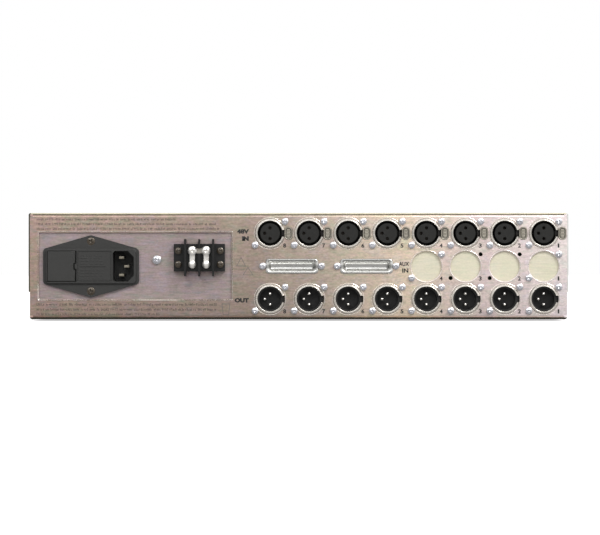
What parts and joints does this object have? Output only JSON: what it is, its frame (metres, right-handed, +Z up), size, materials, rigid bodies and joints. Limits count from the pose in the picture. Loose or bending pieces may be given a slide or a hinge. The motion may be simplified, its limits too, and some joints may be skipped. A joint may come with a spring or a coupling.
{
  "type": "microphone preamp",
  "caption": "Rack-mount microphone preamplifier: folded steel case, XLR inputs and outputs behind, mains inlet, ground terminals, gain knobs and phantom buttons in front.",
  "frame": {"origin": "centre of the rack-slot pattern on the back face of the front panel, which is also the middle of the case's width and height", "axes": "+X right as seen from the front, +Y from the front panel back to the connector panel, +Z up"},
  "size_m": [0.4826, 0.3384, 0.0882],
  "materials": {
    "plated_sheet": "zinc-plated sheet, faintly coloured, brushed",
    "panel_sheet": "zinc-plated panel, finely brushed sideways, from mauve tan to pale cream",
    "front_paint": "fine-textured dark paint on aluminium",
    "power_sheet": "brushed grey-mauve plated sheet",
    "strip_sheet": "pale yellow-cream plated sheet, brushed",
    "cover_tin": "bright tin plate",
    "shell_nickel": "bright nickel plate",
    "insulator": "charcoal moulded plastic",
    "cup_plastic": "black moulded plastic",
    "contact_silver": "silver plate",
    "screw_zinc": "bright zinc plate",
    "screw_black": "black oxide",
    "inlet_plastic": "fine-textured dark grey plastic",
    "drawer_plastic": "fine-textured dark grey plastic",
    "phenolic": "black moulded phenolic",
    "terminal_nickel": "bright nickel plate",
    "latch_metal": "grey-olive plated metal",
    "knob_metal": "turned satin aluminium",
    "switch_metal": "plain plated steel",
    "switch_plastic": "dark moulded plastic",
    "button_plastic": "ivory moulded plastic",
    "rocker_plastic": "black moulded plastic",
    "led_lens": "red tinted light pipe",
    "board": "green glass-epoxy board",
    "potting": "dark potting compound",
    "sleeve": "dark blue shrink sleeve",
    "winding_tape": "amber polyester tape",
    "clamp_steel": "zinc-plated steel",
    "brass_post": "plain brass",
    "cable_jacket": "cable insulation",
    "fuse_glass": "glass tube with nickel caps"
  },
  "bodies": {
    "case": {"chassis_tray": "plated_sheet", "top_cover": "plated_sheet", "rear_panel": "panel_sheet", "front_panel": "front_paint", "power_plate": "power_sheet", "blanking_strip": "strip_sheet", "dsub_covers": "cover_tin", "xlr_female_shells": "shell_nickel", "xlr_female_inserts": "insulator", "xlr_male_shells": "shell_nickel", "xlr_male_inserts": "cup_plastic", "xlr_contacts": "contact_silver", "rear_screws": "screw_zinc", "inlet_housing": "inlet_plastic", "inlet_blades": "terminal_nickel", "power_plate_screws": "screw_black", "terminal_block": "phenolic", "terminal_plates": "terminal_nickel", "terminal_screws": "terminal_nickel", "ground_link": "terminal_nickel", "case_screws": "screw_black", "gain_switches": "switch_metal", "phantom_switches": "switch_plastic", "power_switch_frame": "rocker_plastic", "indicator_leds": "led_lens", "circuit_boards": "board", "channel_modules": "potting", "capacitors": "sleeve", "transformer": "winding_tape", "transformer_clamp": "clamp_steel", "board_standoffs": "brass_post", "shield_wall": "plated_sheet", "wiring": "cable_jacket"},
    "latch_1": {"latch_tab_1": "latch_metal"},
    "latch_2": {"latch_tab_2": "latch_metal"},
    "latch_3": {"latch_tab_3": "latch_metal"},
    "latch_4": {"latch_tab_4": "latch_metal"},
    "latch_5": {"latch_tab_5": "latch_metal"},
    "latch_6": {"latch_tab_6": "latch_metal"},
    "latch_7": {"latch_tab_7": "latch_metal"},
    "latch_8": {"latch_tab_8": "latch_metal"},
    "knob_1": {"gain_knob_1": "knob_metal"},
    "knob_2": {"gain_knob_2": "knob_metal"},
    "knob_3": {"gain_knob_3": "knob_metal"},
    "knob_4": {"gain_knob_4": "knob_metal"},
    "knob_5": {"gain_knob_5": "knob_metal"},
    "knob_6": {"gain_knob_6": "knob_metal"},
    "knob_7": {"gain_knob_7": "knob_metal"},
    "knob_8": {"gain_knob_8": "knob_metal"},
    "button_1": {"phantom_button_1": "button_plastic"},
    "button_2": {"phantom_button_2": "button_plastic"},
    "button_3": {"phantom_button_3": "button_plastic"},
    "button_4": {"phantom_button_4": "button_plastic"},
    "button_5": {"phantom_button_5": "button_plastic"},
    "button_6": {"phantom_button_6": "button_plastic"},
    "button_7": {"phantom_button_7": "button_plastic"},
    "button_8": {"phantom_button_8": "button_plastic"},
    "rocker": {"power_rocker": "rocker_plastic"},
    "drawer": {"fuse_drawer": "drawer_plastic", "fuses": "fuse_glass"}
  },
  "joints": [
    {"name": "latch_1_press", "type": "slide", "parent": "case", "child": "latch_1", "axis": [0, -1, 0], "range_m": [0, 0.0015]},
    {"name": "latch_2_press", "type": "slide", "parent": "case", "child": "latch_2", "axis": [0, -1, 0], "range_m": [0, 0.0015]},
    {"name": "latch_3_press", "type": "slide", "parent": "case", "child": "latch_3", "axis": [0, -1, 0], "range_m": [0, 0.0015]},
    {"name": "latch_4_press", "type": "slide", "parent": "case", "child": "latch_4", "axis": [0, -1, 0], "range_m": [0, 0.0015]},
    {"name": "latch_5_press", "type": "slide", "parent": "case", "child": "latch_5", "axis": [0, -1, 0], "range_m": [0, 0.0015]},
    {"name": "latch_6_press", "type": "slide", "parent": "case", "child": "latch_6", "axis": [0, -1, 0], "range_m": [0, 0.0015]},
    {"name": "latch_7_press", "type": "slide", "parent": "case", "child": "latch_7", "axis": [0, -1, 0], "range_m": [0, 0.0015]},
    {"name": "latch_8_press", "type": "slide", "parent": "case", "child": "latch_8", "axis": [0, -1, 0], "range_m": [0, 0.0015]},
    {"name": "gain_1_turn", "type": "hinge", "parent": "case", "child": "knob_1", "pos_m": [-0.187, -0.014, 0.005], "axis": [0, 1, 0], "range_deg": [0, 300]},
    {"name": "gain_2_turn", "type": "hinge", "parent": "case", "child": "knob_2", "pos_m": [-0.141, -0.014, 0.005], "axis": [0, 1, 0], "range_deg": [0, 300]},
    {"name": "gain_3_turn", "type": "hinge", "parent": "case", "child": "knob_3", "pos_m": [-0.095, -0.014, 0.005], "axis": [0, 1, 0], "range_deg": [0, 300]},
    {"name": "gain_4_turn", "type": "hinge", "parent": "case", "child": "knob_4", "pos_m": [-0.049, -0.014, 0.005], "axis": [0, 1, 0], "range_deg": [0, 300]},
    {"name": "gain_5_turn", "type": "hinge", "parent": "case", "child": "knob_5", "pos_m": [-0.003, -0.014, 0.005], "axis": [0, 1, 0], "range_deg": [0, 300]},
    {"name": "gain_6_turn", "type": "hinge", "parent": "case", "child": "knob_6", "pos_m": [0.043, -0.014, 0.005], "axis": [0, 1, 0], "range_deg": [0, 300]},
    {"name": "gain_7_turn", "type": "hinge", "parent": "case", "child": "knob_7", "pos_m": [0.089, -0.014, 0.005], "axis": [0, 1, 0], "range_deg": [0, 300]},
    {"name": "gain_8_turn", "type": "hinge", "parent": "case", "child": "knob_8", "pos_m": [0.135, -0.014, 0.005], "axis": [0, 1, 0], "range_deg": [0, 300]},
    {"name": "phantom_1_press", "type": "slide", "parent": "case", "child": "button_1", "axis": [0, 1, 0], "range_m": [0, 0.002]},
    {"name": "phantom_2_press", "type": "slide", "parent": "case", "child": "button_2", "axis": [0, 1, 0], "range_m": [0, 0.002]},
    {"name": "phantom_3_press", "type": "slide", "parent": "case", "child": "button_3", "axis": [0, 1, 0], "range_m": [0, 0.002]},
    {"name": "phantom_4_press", "type": "slide", "parent": "case", "child": "button_4", "axis": [0, 1, 0], "range_m": [0, 0.002]},
    {"name": "phantom_5_press", "type": "slide", "parent": "case", "child": "button_5", "axis": [0, 1, 0], "range_m": [0, 0.002]},
    {"name": "phantom_6_press", "type": "slide", "parent": "case", "child": "button_6", "axis": [0, 1, 0], "range_m": [0, 0.002]},
    {"name": "phantom_7_press", "type": "slide", "parent": "case", "child": "button_7", "axis": [0, 1, 0], "range_m": [0, 0.002]},
    {"name": "phantom_8_press", "type": "slide", "parent": "case", "child": "button_8", "axis": [0, 1, 0], "range_m": [0, 0.002]},
    {"name": "power_rock", "type": "hinge", "parent": "case", "child": "rocker", "pos_m": [0.187, -0.0038, 0], "axis": [-1, 0, 0], "range_deg": [0, 16]},
    {"name": "fuse_drawer_slide", "type": "slide", "parent": "case", "child": "drawer", "axis": [0, 1, 0], "range_m": [0, 0.022]}
  ]
}
